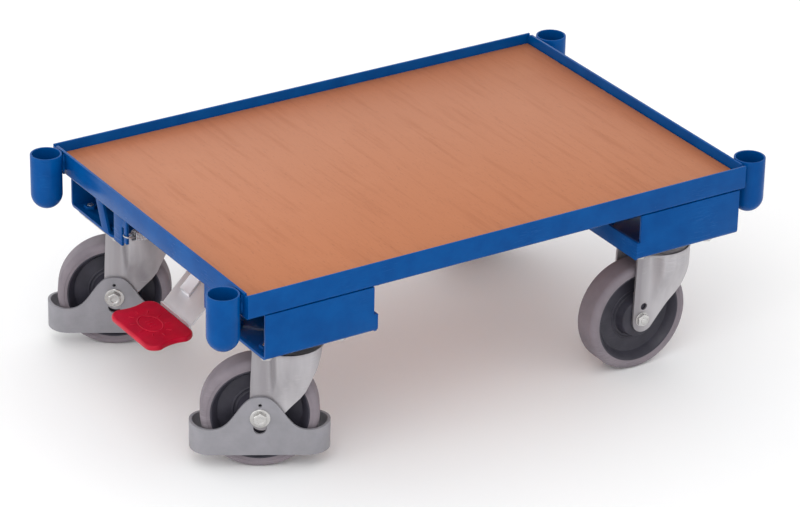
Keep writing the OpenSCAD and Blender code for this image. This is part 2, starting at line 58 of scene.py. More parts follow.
# Sizes of the truck's parts in metres, read from the frame where it gives them
AXLE_Z = JOINTS["wheel_spin_near_left"]["pos_m"][2]
WHEEL_R = AXLE_Z
TYRE_HALF = 20 * MM
TYRE_WALL = 13.5 * MM
RIM_R = WHEEL_R - TYRE_WALL
FORK_INNER = 22.5 * MM
FORK_SHEET = 3.5 * MM
HEAD_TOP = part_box("fork_near_left")[1].z
PLATE_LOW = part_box("top_plate_near_right")[0].z
HEAD_R = 49 * MM
TRAIL = 36.5 * MM
AXLE_R = 5 * MM
AXLE_HOLE_R = 5.3 * MM
SOCKET_R = (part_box("socket_near_left")[1].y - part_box("socket_near_left")[0].y) / 2
SOCKET_BORE = SOCKET_R - 2.85 * MM


# ---------------------------------------------------------------- colours and node helpers

def srgb(red, green, blue):
    """A colour in display values, 0 to 255, as the linear colour that shaders take."""
    def linear(value):
        value /= 255
        return value / 12.92 if value <= 0.04045 else ((value + 0.055) / 1.055) ** 2.4
    return (linear(red), linear(green), linear(blue), 1.0)


def add_node(tree, kind, **settings):
    """A shader node with its properties and the default values of its inputs set."""
    node = tree.nodes.new(kind)
    for key, value in settings.items():
        if hasattr(node, key):
            setattr(node, key, value)
        else:
            node.inputs[key.replace("_", " ")].default_value = value
    return node


def new_group(name, inputs, outputs):
    """An empty node group with float and vector inputs and float outputs."""
    tree = bpy.data.node_groups.new(name, "ShaderNodeTree")
    for label, kind in inputs:
        tree.interface.new_socket(label, in_out="INPUT", socket_type=kind)
    for label in outputs:
        tree.interface.new_socket(label, in_out="OUTPUT", socket_type="NodeSocketFloat")
    return tree, tree.nodes.new("NodeGroupInput"), tree.nodes.new("NodeGroupOutput")


def build_grain_group():
    """Fine surface relief: two sizes of noise added together."""
    tree, given, result = new_group(
        "surface_grain",
        [("Vector", "NodeSocketVector"), ("Scale", "NodeSocketFloat")],
        ["Height", "Cloud"])
    fine = add_node(tree, "ShaderNodeTexNoise", Detail=3.0, Roughness=0.6)
    coarse_scale = add_node(tree, "ShaderNodeMath", operation="MULTIPLY")
    coarse_scale.inputs[1].default_value = 0.035
    coarse = add_node(tree, "ShaderNodeTexNoise", Detail=4.0, Roughness=0.55)
    total = add_node(tree, "ShaderNodeMath", operation="MULTIPLY_ADD")
    total.inputs[1].default_value = 0.5
    link = tree.links.new
    link(given.outputs["Vector"], fine.inputs["Vector"])
    link(given.outputs["Vector"], coarse.inputs["Vector"])
    link(given.outputs["Scale"], fine.inputs["Scale"])
    link(given.outputs["Scale"], coarse_scale.inputs[0])
    link(coarse_scale.outputs[0], coarse.inputs["Scale"])
    link(fine.outputs["Fac"], total.inputs[0])
    link(coarse.outputs["Fac"], total.inputs[2])
    link(total.outputs[0], result.inputs["Height"])
    link(coarse.outputs["Fac"], result.inputs["Cloud"])
    return tree


def build_scuff_group():
    """Thin rubbed streaks and small marks, 0 where the surface is untouched and 1 where it is rubbed."""
    tree, given, result = new_group(
        "handling_marks",
        [("Vector", "NodeSocketVector"), ("Scale", "NodeSocketFloat"), ("Amount", "NodeSocketFloat")],
        ["Mask"])
    stretch = add_node(tree, "ShaderNodeMapping")
    stretch.inputs["Scale"].default_value = (1.0, 1.0, 9.0)
    stretch.inputs["Rotation"].default_value = (0.5, 0.7, 0.2)
    streak = add_node(tree, "ShaderNodeTexNoise", Detail=5.0, Roughness=0.7)
    patch = add_node(tree, "ShaderNodeTexNoise", Scale=11.0, Detail=3.0)
    both = add_node(tree, "ShaderNodeMath", operation="MULTIPLY")
    edge = add_node(tree, "ShaderNodeMapRange")
    edge.inputs["From Min"].default_value = 0.30
    edge.inputs["From Max"].default_value = 0.42
    scaled = add_node(tree, "ShaderNodeMath", operation="MULTIPLY")
    link = tree.links.new
    link(given.outputs["Vector"], stretch.inputs["Vector"])
    link(stretch.outputs["Vector"], streak.inputs["Vector"])
    link(given.outputs["Scale"], streak.inputs["Scale"])
    link(given.outputs["Vector"], patch.inputs["Vector"])
    link(streak.outputs["Fac"], both.inputs[0])
    link(patch.outputs["Fac"], both.inputs[1])
    link(both.outputs[0], edge.inputs["Value"])
    link(edge.outputs["Result"], scaled.inputs[0])
    link(given.outputs["Amount"], scaled.inputs[1])
    link(scaled.outputs[0], result.inputs["Mask"])
    return tree


GRAIN = build_grain_group()
MARKS = build_scuff_group()


def surface(name, colour, tint, worn, rough, grain, marks, metallic=0.0, specular=0.5,
            stretch=(1.0, 1.0, 1.0)):
    """A finished surface: a clouded colour, rubbed marks, uneven roughness and relief.

    rough is (untouched, rubbed), grain is (scale, depth in metres), marks is (scale, amount).
    """
    material = bpy.data.materials.new(name)
    material.use_nodes = True
    material.diffuse_color = colour
    tree = material.node_tree
    shader = tree.nodes["Principled BSDF"]
    shader.inputs["Metallic"].default_value = metallic
    shader.inputs["Specular IOR Level"].default_value = specular
    place = add_node(tree, "ShaderNodeTexCoord")
    direction = add_node(tree, "ShaderNodeMapping")
    direction.inputs["Scale"].default_value = stretch
    relief = add_node(tree, "ShaderNodeGroup", node_tree=GRAIN)
    relief.inputs["Scale"].default_value = grain[0]
    rubbed = add_node(tree, "ShaderNodeGroup", node_tree=MARKS)
    rubbed.inputs["Scale"].default_value = marks[0]
    rubbed.inputs["Amount"].default_value = marks[1]
    cloud = add_node(tree, "ShaderNodeMix", data_type="RGBA")
    cloud.inputs[6].default_value = colour
    cloud.inputs[7].default_value = tint
    wear = add_node(tree, "ShaderNodeMix", data_type="RGBA")
    wear.inputs[7].default_value = worn
    gloss = add_node(tree, "ShaderNodeMapRange")
    gloss.inputs["To Min"].default_value = rough[0]
    gloss.inputs["To Max"].default_value = rough[1]
    uneven = add_node(tree, "ShaderNodeMath", operation="MULTIPLY_ADD")
    uneven.inputs[1].default_value = 0.10
    bump = add_node(tree, "ShaderNodeBump", Strength=1.0, Distance=grain[1])
    spread = add_node(tree, "ShaderNodeMapRange")
    spread.inputs["From Min"].default_value = 0.35
    spread.inputs["From Max"].default_value = 0.65
    link = tree.links.new
    link(place.outputs["Object"], direction.inputs["Vector"])
    link(direction.outputs["Vector"], relief.inputs["Vector"])
    link(place.outputs["Object"], rubbed.inputs["Vector"])
    link(relief.outputs["Cloud"], spread.inputs["Value"])
    link(spread.outputs["Result"], cloud.inputs[0])
    link(cloud.outputs[2], wear.inputs[6])
    link(rubbed.outputs["Mask"], wear.inputs[0])
    link(wear.outputs[2], shader.inputs["Base Color"])
    link(rubbed.outputs["Mask"], gloss.inputs["Value"])
    link(relief.outputs["Cloud"], uneven.inputs[0])
    link(gloss.outputs["Result"], uneven.inputs[2])
    link(uneven.outputs[0], shader.inputs["Roughness"])
    link(relief.outputs["Height"], bump.inputs["Height"])
    link(bump.outputs["Normal"], shader.inputs["Normal"])
    return material


# ---------------------------------------------------------------- materials

def blue_powder_coat():
    return surface("blue_powder_coat", srgb(2, 78, 146), srgb(0, 70, 136), srgb(30, 100, 168),
                   rough=(0.20, 0.36), grain=(900.0, 0.00008), marks=(60.0, 0.18), specular=0.09)


def zinc_plate():
    # The lighter tint, drawn into upright streaks by the stretch along Z, is partly the zinc's own mottle and
    # partly painted reflection: the upright bright bands that the formed sheet shows.
    return surface("zinc_plate", srgb(150, 146, 150), srgb(196, 193, 196), srgb(212, 211, 213),
                   rough=(0.36, 0.26), grain=(520.0, 0.00003), marks=(70.0, 0.35), metallic=0.6,
                   stretch=(1.0, 1.0, 0.10))


# Zinc painted nearly white and made barely metallic: a painted highlight that stands in for the bright reflection
# on the pedal arm's upward slope.
def zinc_painted_highlight():
    return surface("zinc_painted_highlight", srgb(246, 247, 251), srgb(230, 230, 234), srgb(252, 252, 252),
                   rough=(0.34, 0.24), grain=(420.0, 0.00002), marks=(70.0, 0.3), metallic=0.06, specular=0.7)


def fastener_zinc():
    return surface("fastener_zinc", srgb(214, 213, 212), srgb(180, 178, 176), srgb(235, 235, 232),
                   rough=(0.20, 0.30), grain=(700.0, 0.00002), marks=(200.0, 0.4), metallic=0.85)


def spring_steel():
    return surface("spring_steel", srgb(216, 216, 218), srgb(186, 186, 190), srgb(236, 236, 236),
                   rough=(0.22, 0.32), grain=(900.0, 0.00001), marks=(300.0, 0.3), metallic=0.7)


def tyre_rubber():
    return surface("tyre_rubber", srgb(134, 125, 132), srgb(121, 113, 120), srgb(156, 150, 155),
                   rough=(0.56, 0.70), grain=(650.0, 0.0001), marks=(45.0, 0.40), specular=0.35)


def rim_plastic():
    return surface("rim_plastic", srgb(60, 58, 68), srgb(50, 49, 58), srgb(88, 86, 94),
                   rough=(0.34, 0.50), grain=(1100.0, 0.00005), marks=(80.0, 0.30), specular=0.3)


def guard_plastic():
    return surface("guard_plastic", srgb(146, 144, 150), srgb(138, 137, 142), srgb(161, 159, 163),
                   rough=(0.44, 0.58), grain=(1300.0, 0.00007), marks=(55.0, 0.12), specular=0.3)


def pedal_plastic():
    return surface("pedal_plastic", srgb(196, 8, 46), srgb(178, 6, 42), srgb(208, 50, 76),
                   rough=(0.34, 0.50), grain=(1000.0, 0.00008), marks=(70.0, 0.2), specular=0.22)


# Near-black, slightly metallic surface. On the ball races it is painted shade, standing in for the shade in the
# gap between fork head and top plate. On the hub bushes it is their own dark colour.
def black_bush_and_race_painted_shade():
    return surface("black_bush_and_race_painted_shade", srgb(30, 30, 32), srgb(22, 22, 24), srgb(60, 60, 62),
                   rough=(0.45, 0.6), grain=(800.0, 0.00003), marks=(120.0, 0.3), metallic=0.3)


def beech_board():
    """Beech face veneer: broad tone bands, soft streaks and short dark ray flecks, all along Y."""
    material = bpy.data.materials.new("beech_board")
    material.use_nodes = True
    tree = material.node_tree
    shader = tree.nodes["Principled BSDF"]
    shader.inputs["Specular IOR Level"].default_value = 0.25
    link = tree.links.new
    place = add_node(tree, "ShaderNodeTexCoord")

    def along_grain(scale, detail, rough=0.5, distortion=0.0):
        squeeze = add_node(tree, "ShaderNodeMapping")
        squeeze.inputs["Scale"].default_value = scale
        pattern = add_node(tree, "ShaderNodeTexNoise", Scale=1.0, Detail=detail, Roughness=rough,
                           Distortion=distortion)
        link(place.outputs["Object"], squeeze.inputs["Vector"])
        link(squeeze.outputs["Vector"], pattern.inputs["Vector"])
        return pattern.outputs["Fac"]

    def ramp(value, low, high):
        spread = add_node(tree, "ShaderNodeMapRange")
        spread.inputs["From Min"].default_value = low
        spread.inputs["From Max"].default_value = high
        link(value, spread.inputs["Value"])
        return spread.outputs["Result"]

    def mix(factor, first, second):
        blend = add_node(tree, "ShaderNodeMix", data_type="RGBA")
        link(factor, blend.inputs[0])
        if isinstance(first, tuple):
            blend.inputs[6].default_value = first
        else:
            link(first, blend.inputs[6])
        blend.inputs[7].default_value = second
        return blend.outputs[2]

    bands = ramp(along_grain((7.0, 1.1, 7.0), 3.0, 0.5, 0.8), 0.25, 0.75)
    streaks = ramp(along_grain((95.0, 7.0, 95.0), 4.0, 0.6), 0.50, 0.95)
    flecks = ramp(along_grain((1100.0, 90.0, 1100.0), 2.0, 0.5), 0.62, 0.74)
    pores = along_grain((2600.0, 130.0, 2600.0), 2.0)
    colour = mix(bands, srgb(185, 115, 76), srgb(180, 111, 72))
    colour = mix(streaks, colour, srgb(166, 99, 63))
    fleck_part = add_node(tree, "ShaderNodeMath", operation="MULTIPLY")
    fleck_part.inputs[1].default_value = 0.42
    link(flecks, fleck_part.inputs[0])
    colour = mix(fleck_part.outputs[0], colour, srgb(128, 74, 46))
    rubbed = add_node(tree, "ShaderNodeGroup", node_tree=MARKS)
    rubbed.inputs["Scale"].default_value = 30.0
    rubbed.inputs["Amount"].default_value = 0.14
    link(place.outputs["Object"], rubbed.inputs["Vector"])
    colour = mix(rubbed.outputs["Mask"], colour, srgb(196, 130, 92))
    link(colour, shader.inputs["Base Color"])
    gloss = add_node(tree, "ShaderNodeMapRange")
    gloss.inputs["To Min"].default_value = 0.38
    gloss.inputs["To Max"].default_value = 0.52
    link(streaks, gloss.inputs["Value"])
    link(gloss.outputs["Result"], shader.inputs["Roughness"])
    bump = add_node(tree, "ShaderNodeBump", Strength=1.0, Distance=0.00004)
    link(pores, bump.inputs["Height"])
    link(bump.outputs["Normal"], shader.inputs["Normal"])
    return material


FINISH = {
    "blue_paint": blue_powder_coat(),
    "deck_ply": beech_board(),
    "zinc_steel": zinc_plate(),
    "spring_wire": spring_steel(),
    # The steel races' near-black is painted shade.
    "race_steel": black_bush_and_race_painted_shade(),
    "rim_plastic": rim_plastic(),
    "bush_plastic": black_bush_and_race_painted_shade(),
    "grey_tyre": tyre_rubber(),
    "guard_plastic": guard_plastic(),
    "pedal_red": pedal_plastic(),
}
FASTENER = fastener_zinc()
ZINC_PAINTED_HIGHLIGHT = zinc_painted_highlight()


# ---------------------------------------------------------------- modelling helpers

WELD = 1e-6                             # vertices closer than this are one
SHARP = 35                              # degrees; faces that meet at more than this form an edge
DRILL_L = 100 * MM


def deselect():
    """Leaves edit mode and selects nothing."""
    if bpy.context.object and bpy.context.object.mode != "OBJECT":
        bpy.ops.object.mode_set(mode="OBJECT")
    bpy.ops.object.select_all(action="DESELECT")


def activate(obj):
    """Makes one piece the selected and active one."""
    deselect()
    obj.select_set(True)
    bpy.context.view_layer.objects.active = obj


def open_for_editing(obj):
    """Enters edit mode with everything in the piece selected."""
    activate(obj)
    bpy.ops.object.mode_set(mode="EDIT")
    bpy.ops.mesh.select_all(action="SELECT")


def draw_chain(name, points):
    """Edges drawn point by point; the object stays in edit mode."""
    deselect()
    bpy.ops.mesh.primitive_plane_add(size=MM, location=(0, 0, 0))
    obj = bpy.context.object
    obj.name = name
    obj.data.name = name
    bpy.ops.object.mode_set(mode="EDIT")
    bpy.ops.mesh.merge(type="CENTER")
    bpy.ops.transform.translate(value=points[0])
    for start, end in zip(points, points[1:]):
        bpy.ops.mesh.extrude_vertices_move(TRANSFORM_OT_translate={"value": Vector(end) - Vector(start)})
    return obj


def tidy_shell(angle=SHARP):
    """Merges what meets, turns the faces outwards and leaves edit mode."""
    bpy.ops.mesh.select_all(action="SELECT")
    bpy.ops.mesh.remove_doubles(threshold=WELD)
    bpy.ops.mesh.normals_make_consistent(inside=False)
    bpy.ops.object.mode_set(mode="OBJECT")
    bpy.ops.object.shade_smooth_by_angle(angle=math.radians(angle))


def lathe(name, profile, steps=96):
    """Turns a profile of (radius, height) points about Z."""
    obj = draw_chain(name, [Vector((r, 0, z)) for r, z in profile])
    bpy.ops.mesh.select_all(action="SELECT")
    bpy.ops.mesh.spin(steps=steps, angle=2 * math.pi, center=(0, 0, 0), axis=(0, 0, 1))
    tidy_shell()
    return obj


def slab(name, outline, depth):
    """An outline in the X-Z plane, given as (x, z) points, made depth thick along +Y."""
    obj = draw_chain(name, [Vector((x, 0, z)) for x, z in outline])
    bpy.ops.mesh.select_all(action="SELECT")
    bpy.ops.mesh.edge_face_add()
    bpy.ops.mesh.extrude_region_move(TRANSFORM_OT_translate={"value": (0, depth, 0)})
    tidy_shell()
    return obj


def apply_modifier(obj, kind, **settings):
    """Adds one modifier with its settings and applies it."""
    activate(obj)
    modifier = obj.modifiers.new(kind.lower(), kind)
    for key, value in settings.items():
        setattr(modifier, key, value)
    bpy.ops.object.modifier_apply(modifier=modifier.name)


def soften(obj, width, segments=2, angle=SHARP):
    """Rounds the sharp edges."""
    apply_modifier(obj, "BEVEL", width=width, segments=segments, limit_method="ANGLE",
                   angle_limit=math.radians(angle), use_clamp_overlap=True, harden_normals=False)
    activate(obj)
    bpy.ops.object.shade_smooth_by_angle(angle=math.radians(angle))


def cut(obj, cutter):
    """Takes one piece out of another and throws the cutter away."""
    apply_modifier(obj, "BOOLEAN", operation="DIFFERENCE", object=cutter, solver="EXACT")
    bpy.data.objects.remove(cutter)


def drill(obj, radius, place):
    """Drills a round hole along Y."""
    deselect()
    bpy.ops.mesh.primitive_cylinder_add(radius=radius, depth=DRILL_L, vertices=48, location=place,
                                        rotation=(math.pi / 2, 0, 0))
    cut(obj, bpy.context.object)


def put(obj, matrix):
    """Sets the piece in place through its mesh, so that the object stays at the origin."""
    obj.data.transform(matrix)
    if matrix.determinant() < 0:
        obj.data.flip_normals()
    return obj


def copy_of(obj, name):
    """A copy with a mesh of its own."""
    twin = obj.copy()
    twin.data = obj.data.copy()
    twin.name = name
    twin.data.name = name
    bpy.context.scene.collection.objects.link(twin)
    return twin


def join(name, parts):
    """Joins the parts into the first one, under a new name."""
    deselect()
    for part in parts:
        part.select_set(True)
    bpy.context.view_layer.objects.active = parts[0]
    bpy.ops.object.join()
    parts[0].name = name
    return parts[0]


def hand_over(obj, node, material=None):
    """The finished piece takes the CAD node's place, body and slot."""
    obj.name = "finished_" + node
    obj.data.materials.clear()
    obj.data.materials.append(material or FINISH[SLOT_OF[node]])
    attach(obj, BODY_OF[node])
    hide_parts(node)


def refine(node, width, material=None, segments=2):
    """A copy of a CAD node with its facets merged and its edges softly rounded."""
    obj = copy_of(NODES[node], "refined_" + node)
    obj.parent = None
    for key in list(obj.keys()):
        del obj[key]
    open_for_editing(obj)
    bpy.ops.mesh.remove_doubles(threshold=WELD)
    bpy.ops.mesh.dissolve_limited(angle_limit=math.radians(1))
    bpy.ops.object.mode_set(mode="OBJECT")
    soften(obj, width, segments)
    hand_over(obj, node, material)


def arc(cx, cz, radius, start, end, count):
    """Points along an arc, with angles in degrees."""
    angles = [math.radians(start + (end - start) * i / count) for i in range(count + 1)]
    return [(cx + radius * math.cos(a), cz + radius * math.sin(a)) for a in angles]


# ---------------------------------------------------------------- caster frames

def caster_pose(side, end):
    """Upright axis at the origin, wheel towards -X and axle along Y, moved to its place on the truck."""
    wheel = JOINTS[f"wheel_spin_{side}_{end}"]
    axle = Vector(wheel["axis"])
    turn = Matrix.Rotation(math.atan2(-axle.x, axle.y), 4, "Z")
    centre = Vector(wheel["pos_m"])
    pivot = centre - turn @ Vector((-TRAIL, 0, 0))
    return Matrix.Translation((pivot.x, pivot.y, 0)) @ turn


def wheel_pose(side, end):
    """Axle along Z, centred on the wheel, with +Z towards the truck's near side."""
    return (caster_pose(side, end) @ Matrix.Translation((-TRAIL, 0, AXLE_Z))
            @ Matrix.Rotation(math.pi / 2, 4, "X"))


# ---------------------------------------------------------------- wheels

def tyre_shape():
    """Moulded tread with round shoulders and a fine parting step on each side."""
    shoulder = 8 * MM
    outer = arc(WHEEL_R - shoulder, -TYRE_HALF + shoulder, shoulder, -90, 0, 10)
    upper = arc(WHEEL_R - shoulder, TYRE_HALF - shoulder, shoulder, 0, 90, 10)
    step = 0.5 * MM
    side_low = [(RIM_R, -TYRE_HALF + MM), (RIM_R + 1.5 * MM, -TYRE_HALF + step),
                (RIM_R + 4 * MM, -TYRE_HALF + step), (RIM_R + 4.4 * MM, -TYRE_HALF)]
    side_high = [(r, -z) for r, z in reversed(side_low)]
    ring = side_low + outer + upper + side_high + [side_low[0]]
    return lathe("tyre_shape", ring, 128)


def rim_shape():
    """Moulded wheel centre: long boss, thin web with a raised ring, and a dished bed for the tyre."""
    web = 6
    bed = RIM_R / MM
    half = [(13, 21.5), (26, 21.5), (28, 20.8), (29, 19), (30.4, web + 2), (31.6, web + 0.4), (34.5, web),
            (35.2, web + 1.1), (37.2, web + 1.1), (37.9, web), (bed - 12, web), (bed - 9.6, web + 0.5),
            (bed - 8.6, web + 2.2), (bed - 3.2, 17.2), (bed - 2, 18.6), (bed, 19)]
    upper = [(r * MM, z * MM) for r, z in half]
    lower = [(r, -z) for r, z in reversed(upper)]
    return lathe("rim_shape", upper + lower + [upper[0]], 128)


def make_wheels():
    """Four tyres and four wheel centres."""
    tyre = tyre_shape()
    rim = rim_shape()
    soften(rim, 0.4 * MM, angle=40)
    for side in SIDES:
        for end in ENDS:
            corner = f"{side}_{end}"
            pose = wheel_pose(side, end)
            hand_over(put(copy_of(tyre, "tyre"), pose), f"tyre_{corner}")
            hand_over(put(copy_of(rim, "rim"), pose), f"rim_{corner}")
    for pattern in (tyre, rim):
        bpy.data.objects.remove(pattern)


# ---------------------------------------------------------------- forks

LEG_TIP = (-TRAIL + 3 * MM, AXLE_Z - 3 * MM)
LEG_TIP_R = 17.4 * MM
LEG_HOLE_R = 5.25 * MM
LEG_HOLE_UP = 18.6 * MM
FLARE_LOW = 92 * MM
CREASE_X = -27 * MM
CREASE_W = 13 * MM


def leg_outline():
    """Side view of a fork leg, from the upright axis."""
    top = HEAD_TOP / MM
    back = [(-47.3, top), (-49.6, 130)]
    front = [(-6, 83), (5, 95.5), (16.5, 108.5), (24, 120.5), (29.5, 134.5), (35.5, 147), (40.5, 158.5),
             (44, 171), (46, top)]
    points = [(x * MM, z * MM) for x, z in back]
    points += arc(LEG_TIP[0], LEG_TIP[1], LEG_TIP_R, 180, 322, 14)
    points += [(x * MM, z * MM) for x, z in front]
    return points


def smooth_step(value):
    """An even rise from 0 to 1 with no corner at either end."""
    value = min(max(value, 0.0), 1.0)
    return value * value * (3 - 2 * value)


def flare(x, z):
    """How far the leg stands out from its flat plane where it grows into the round head."""
    edge = HEAD_R - 0.6 * MM
    if abs(x) >= edge:
        return 0.0
    reach = math.sqrt(edge ** 2 - x ** 2) - FORK_INNER - FORK_SHEET
    up = smooth_step((z - FLARE_LOW) / (HEAD_TOP - 14 * MM - FLARE_LOW))
    return reach * up * smooth_step((x - CREASE_X) / CREASE_W)


def fork_leg():
    """One pressed leg: cut from sheet, drilled, then drawn out to the head's round edge."""
    leg = slab("fork_leg", leg_outline(), FORK_SHEET)
    open_for_editing(leg)
    columns = range(-44, 46, 2)
    rows = range(round(FLARE_LOW / MM), int(HEAD_TOP / MM), 5)
    for axis, places in ((Vector((1, 0, 0)), columns), (Vector((0, 0, 1)), rows)):
        for place in places:
            bpy.ops.mesh.select_all(action="SELECT")
            bpy.ops.mesh.bisect(plane_co=axis * place * MM, plane_no=axis, use_fill=False)
    bpy.ops.object.mode_set(mode="OBJECT")
    drill(leg, AXLE_HOLE_R, (-TRAIL, 0, AXLE_Z))
    drill(leg, LEG_HOLE_R, (LEG_TIP[0], 0, AXLE_Z + LEG_HOLE_UP))
    leg_edge = 50
    soften(leg, 0.7 * MM, angle=leg_edge)
    for vertex in leg.data.vertices:
        vertex.co.y += FORK_INNER + flare(vertex.co.x, vertex.co.z)
    activate(leg)
    bpy.ops.object.shade_smooth_by_angle(angle=math.radians(leg_edge))
    return leg


def fork_shape(swivels):
    """Two legs under a round head; the fixed fork has a neck ring up to its plate."""
    leg = fork_leg()
    twin = put(copy_of(leg, "fork_leg_twin"), Matrix.Scale(-1, 4, (0, 1, 0)))
    bore = 10.06 if swivels else 12.0
    low, top, edge = HEAD_TOP / MM - 4, HEAD_TOP / MM, HEAD_R / MM
    profile = [(bore, low), (edge - 2.5, low), (edge - 0.6, low + 0.8), (edge, low + 2),
               (edge - 0.4, top - 0.7), (edge - 1.4, top)]
    if not swivels:
        plate = PLATE_LOW / MM
        profile += [(38, top), (36.4, top + 1), (36, top + 3), (36, plate), (32, plate), (32, top)]
    profile += [(bore, top), (bore, low)]
    head = lathe("fork_head", [(r * MM, z * MM) for r, z in profile], 96)
    return join("fork_pattern", [head, leg, twin])


def make_forks():
    """Two swivel forks on the left and two fixed forks on the right."""
    for end in ENDS:
        pattern = fork_shape(end == "left")
        for side in SIDES:
            hand_over(put(copy_of(pattern, "fork"), caster_pose(side, end)), f"fork_{side}_{end}")
        bpy.data.objects.remove(pattern)


# ---------------------------------------------------------------- foot guards

GUARD_WALL = 4 * MM
GUARD_HALF = 94.5 * MM
GUARD_END_R = 30 * MM
GUARD_LOW = AXLE_Z - 55.5 * MM
GUARD_BAND = AXLE_Z - 18.5 * MM
GUARD_HUMP = 49.5 * MM
GUARD_HUMP_W = 36.9 * MM
GUARD_LIFT = 3 * MM                     # the upper edge climbs by this towards the ends


def guard_edge(u):
    """Height of the guard's upper edge at a distance u along the wheel from the axle."""
    hump = GUARD_HUMP * math.exp(-((abs(u) / GUARD_HUMP_W) ** 2.8))
    return GUARD_BAND + hump + GUARD_LIFT * (u / GUARD_HALF) ** 6


def guard_shape():
    """Oval band round the wheel whose sides rise over the axle; hollow, with round lips."""
    straight = GUARD_HALF - GUARD_END_R
    steps = 44
    round_end = arc(straight, 0, GUARD_END_R, -90, 90, 20)
    row = [(straight - 2 * straight * i / steps, GUARD_END_R) for i in range(1, steps)]
    half_oval = round_end + row
    oval = half_oval + [(-x, -y) for x, y in half_oval]
    obj = draw_chain("foot_guard", [Vector((x, y, GUARD_LOW)) for x, y in oval])
    bpy.ops.mesh.select_all(action="SELECT")
    bpy.ops.mesh.edge_face_add()
    bpy.ops.mesh.delete(type="ONLY_FACE")
    bpy.ops.mesh.select_all(action="SELECT")
    bpy.ops.mesh.extrude_region_move(TRANSFORM_OT_translate={"value": (0, 0, 40 * MM)})
    bpy.ops.object.mode_set(mode="OBJECT")
    for vertex in obj.data.vertices:
        if vertex.co.z > GUARD_LOW + MM:
            vertex.co.z = guard_edge(vertex.co.x)
    open_for_editing(obj)
    bpy.ops.mesh.normals_make_consistent(inside=False)
    bpy.ops.object.mode_set(mode="OBJECT")
    apply_modifier(obj, "SOLIDIFY", thickness=GUARD_WALL, offset=-1, use_even_offset=True)
    slot = [(AXLE_Z - drop * MM, 9 * MM) for drop in (0, 7, 15)]
    pin_hole = (AXLE_Z + 19 * MM, 2.5 * MM)
    for height, radius in slot + [pin_hole]:
        drill(obj, radius, (0, 0, height))
    soften(obj, 1.1 * MM, segments=3, angle=50)
    return obj


def make_guards():
    """A foot guard on each swivel caster."""
    pattern = guard_shape()
    for side in SIDES:
        pose = caster_pose(side, "left") @ Matrix.Translation((-TRAIL, 0, 0))
        hand_over(put(copy_of(pattern, "guard"), pose), f"foot_guard_{side}")
    bpy.data.objects.remove(pattern)


# ---------------------------------------------------------------- axle bolts

AXLE_FLATS = 17 * MM
AXLE_NUT_H = 5 * MM
WASHER_T = 1.5 * MM
STACK_GAP = 0.05 * MM

# Each end, how far out its washers sit from the wheel's middle, and their radius
BOLT_FITS = (("left", 30 * MM, 13.75 * MM), ("right", 26 * MM, 10.25 * MM))


def hex_head(across, height, low):
    """Hexagon with its outer corners turned off, standing on the plane low."""
    radius = across / math.sqrt(3)
    deselect()
    bpy.ops.mesh.primitive_cylinder_add(vertices=6, radius=radius, depth=height, location=(0, 0, 0))
    head = bpy.context.object
    top, side = height / 2, radius + 0.2 * MM
    profile = [(0, top), (across * 0.46, top), (side, top - 1.3 * MM), (side, -top - MM), (0, -top - MM)]
    crown = lathe("crown", profile, 48)
    apply_modifier(head, "BOOLEAN", operation="INTERSECT", object=crown, solver="EXACT")
    bpy.data.objects.remove(crown)
    soften(head, 0.3 * MM, angle=40)
    return put(head, Matrix.Translation((0, 0, low + top)))


def axle_bolt_shape(face, washer_r):
    """Bolt, washers and nut along Z; the head is on the +Z side."""
    seat = face + WASHER_T
    head = hex_head(AXLE_FLATS, AXLE_NUT_H - STACK_GAP, seat + STACK_GAP)
    floor, above = seat + 4.4 * MM, seat + 6 * MM
    cut(head, lathe("dimple", [(0, floor), (4.2 * MM, floor), (4.8 * MM, above), (0, above)], 40))
    nut = put(hex_head(AXLE_FLATS, AXLE_NUT_H, seat), Matrix.Rotation(math.pi, 4, "X"))
    tip = -seat - AXLE_NUT_H - 2 * MM
    stud = lathe("stud", [(0, tip), (AXLE_R - 1.1 * MM, tip), (AXLE_R, tip + 1.1 * MM),
                          (AXLE_R, seat + MM), (0, seat + MM)], 40)
    inner, chamfer = AXLE_R + 0.2 * MM, 0.4 * MM
    ring = [(inner, 0), (washer_r - 0.5 * MM, 0), (washer_r, chamfer), (washer_r, WASHER_T - chamfer),
            (washer_r - 0.5 * MM, WASHER_T), (inner, WASHER_T), (inner, 0)]
    washers = [put(lathe("washer", ring, 64), Matrix.Translation((0, 0, low))) for low in (face, -seat)]
    return join("axle_bolt_pattern", [head, nut, stud] + washers)


def make_axle_bolts():
    """Four axle bolts with their washers and nuts; the right ones are turned round."""
    for end, face, washer_r in BOLT_FITS:
        pattern = axle_bolt_shape(face, washer_r)
        if end == "right":
            put(pattern, Matrix.Rotation(math.pi, 4, "X"))
        for side in SIDES:
            bolt = put(copy_of(pattern, "axle_bolt"), wheel_pose(side, end))
            hand_over(bolt, f"axle_bolt_{side}_{end}", FASTENER)
        bpy.data.objects.remove(pattern)


# ---------------------------------------------------------------- sockets and welds

CUP_H = 22 * MM                         # height of the closed round end
BEAD_L = 27 * MM
BEAD_R = 2.6 * MM
BEAD_OFFSET = 10 * MM                   # each bead's distance from the tube's middle line
BEAD_SINK = 0.3 * MM
BEAD_DROP = 2.5 * MM                    # the beads end this far below the rim


